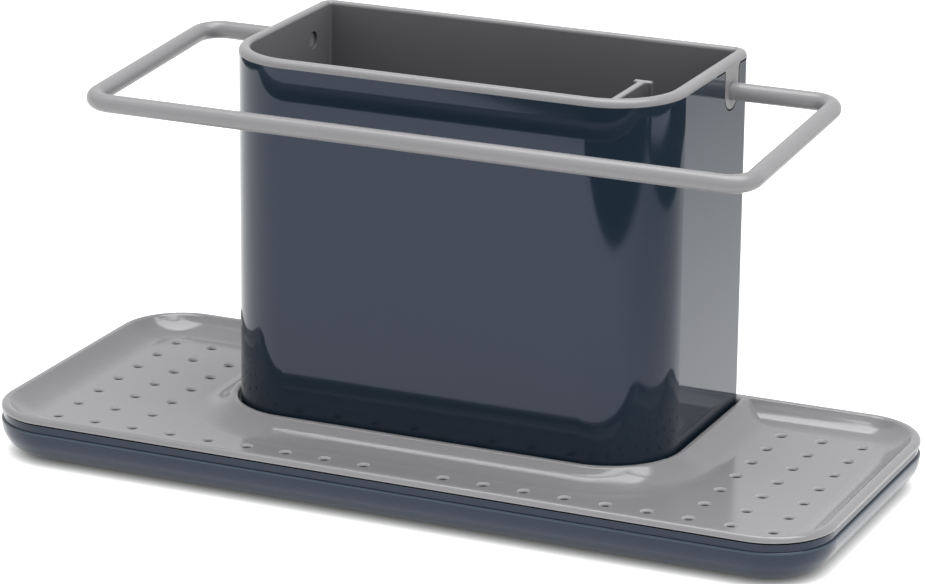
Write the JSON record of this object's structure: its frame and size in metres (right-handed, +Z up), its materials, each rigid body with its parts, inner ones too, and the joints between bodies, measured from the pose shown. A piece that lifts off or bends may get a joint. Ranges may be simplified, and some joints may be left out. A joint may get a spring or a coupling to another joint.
{
  "type": "kitchen sink caddy",
  "caption": "Free-standing kitchen sink caddy: a deep lift-out container with a swinging towel rail on a draining tray over a shallow reservoir.",
  "frame": {"origin": "centre of the footprint on the surface that the caddy stands on", "axes": "+X along the tray towards the viewer's right, -Y towards the front where the towel rail is, +Z up"},
  "size_m": [0.3122, 0.1326, 0.1469],
  "materials": {
    "base_reservoir": "gloss dark slate-blue moulded plastic",
    "foot_front_left": "matte black rubber",
    "foot_front_right": "matte black rubber",
    "foot_back_left": "matte black rubber",
    "foot_back_right": "matte black rubber",
    "draining_tray": "satin-gloss mid grey moulded plastic",
    "outer_shell": "high-gloss dark slate-blue moulded plastic",
    "inner_liner": "satin mid grey moulded plastic",
    "towel_rail": "satin mid grey plastic rod"
  },
  "bodies": {
    "base": {"base_reservoir": "base_reservoir", "foot_front_left": "foot_front_left", "foot_front_right": "foot_front_right", "foot_back_left": "foot_back_left", "foot_back_right": "foot_back_right"},
    "tray": {"draining_tray": "draining_tray"},
    "shell": {"outer_shell": "outer_shell"},
    "liner": {"inner_liner": "inner_liner"},
    "rail": {"towel_rail": "towel_rail"}
  },
  "joints": [
    {"name": "tray_lift", "type": "slide", "parent": "base", "child": "tray", "axis": [0, 0, 1], "range_m": [0, 0.05]},
    {"name": "shell_lift", "type": "slide", "parent": "tray", "child": "shell", "axis": [0, 0, 1], "range_m": [0, 0.05]},
    {"name": "liner_lift", "type": "slide", "parent": "shell", "child": "liner", "axis": [0, 0, 1], "range_m": [0, 0.14]},
    {"name": "rail_swing", "type": "hinge", "parent": "liner", "child": "rail", "pos_m": [0, 0.0466, 0.1354], "axis": [-1, 0, 0], "range_deg": [0, 90]}
  ]
}
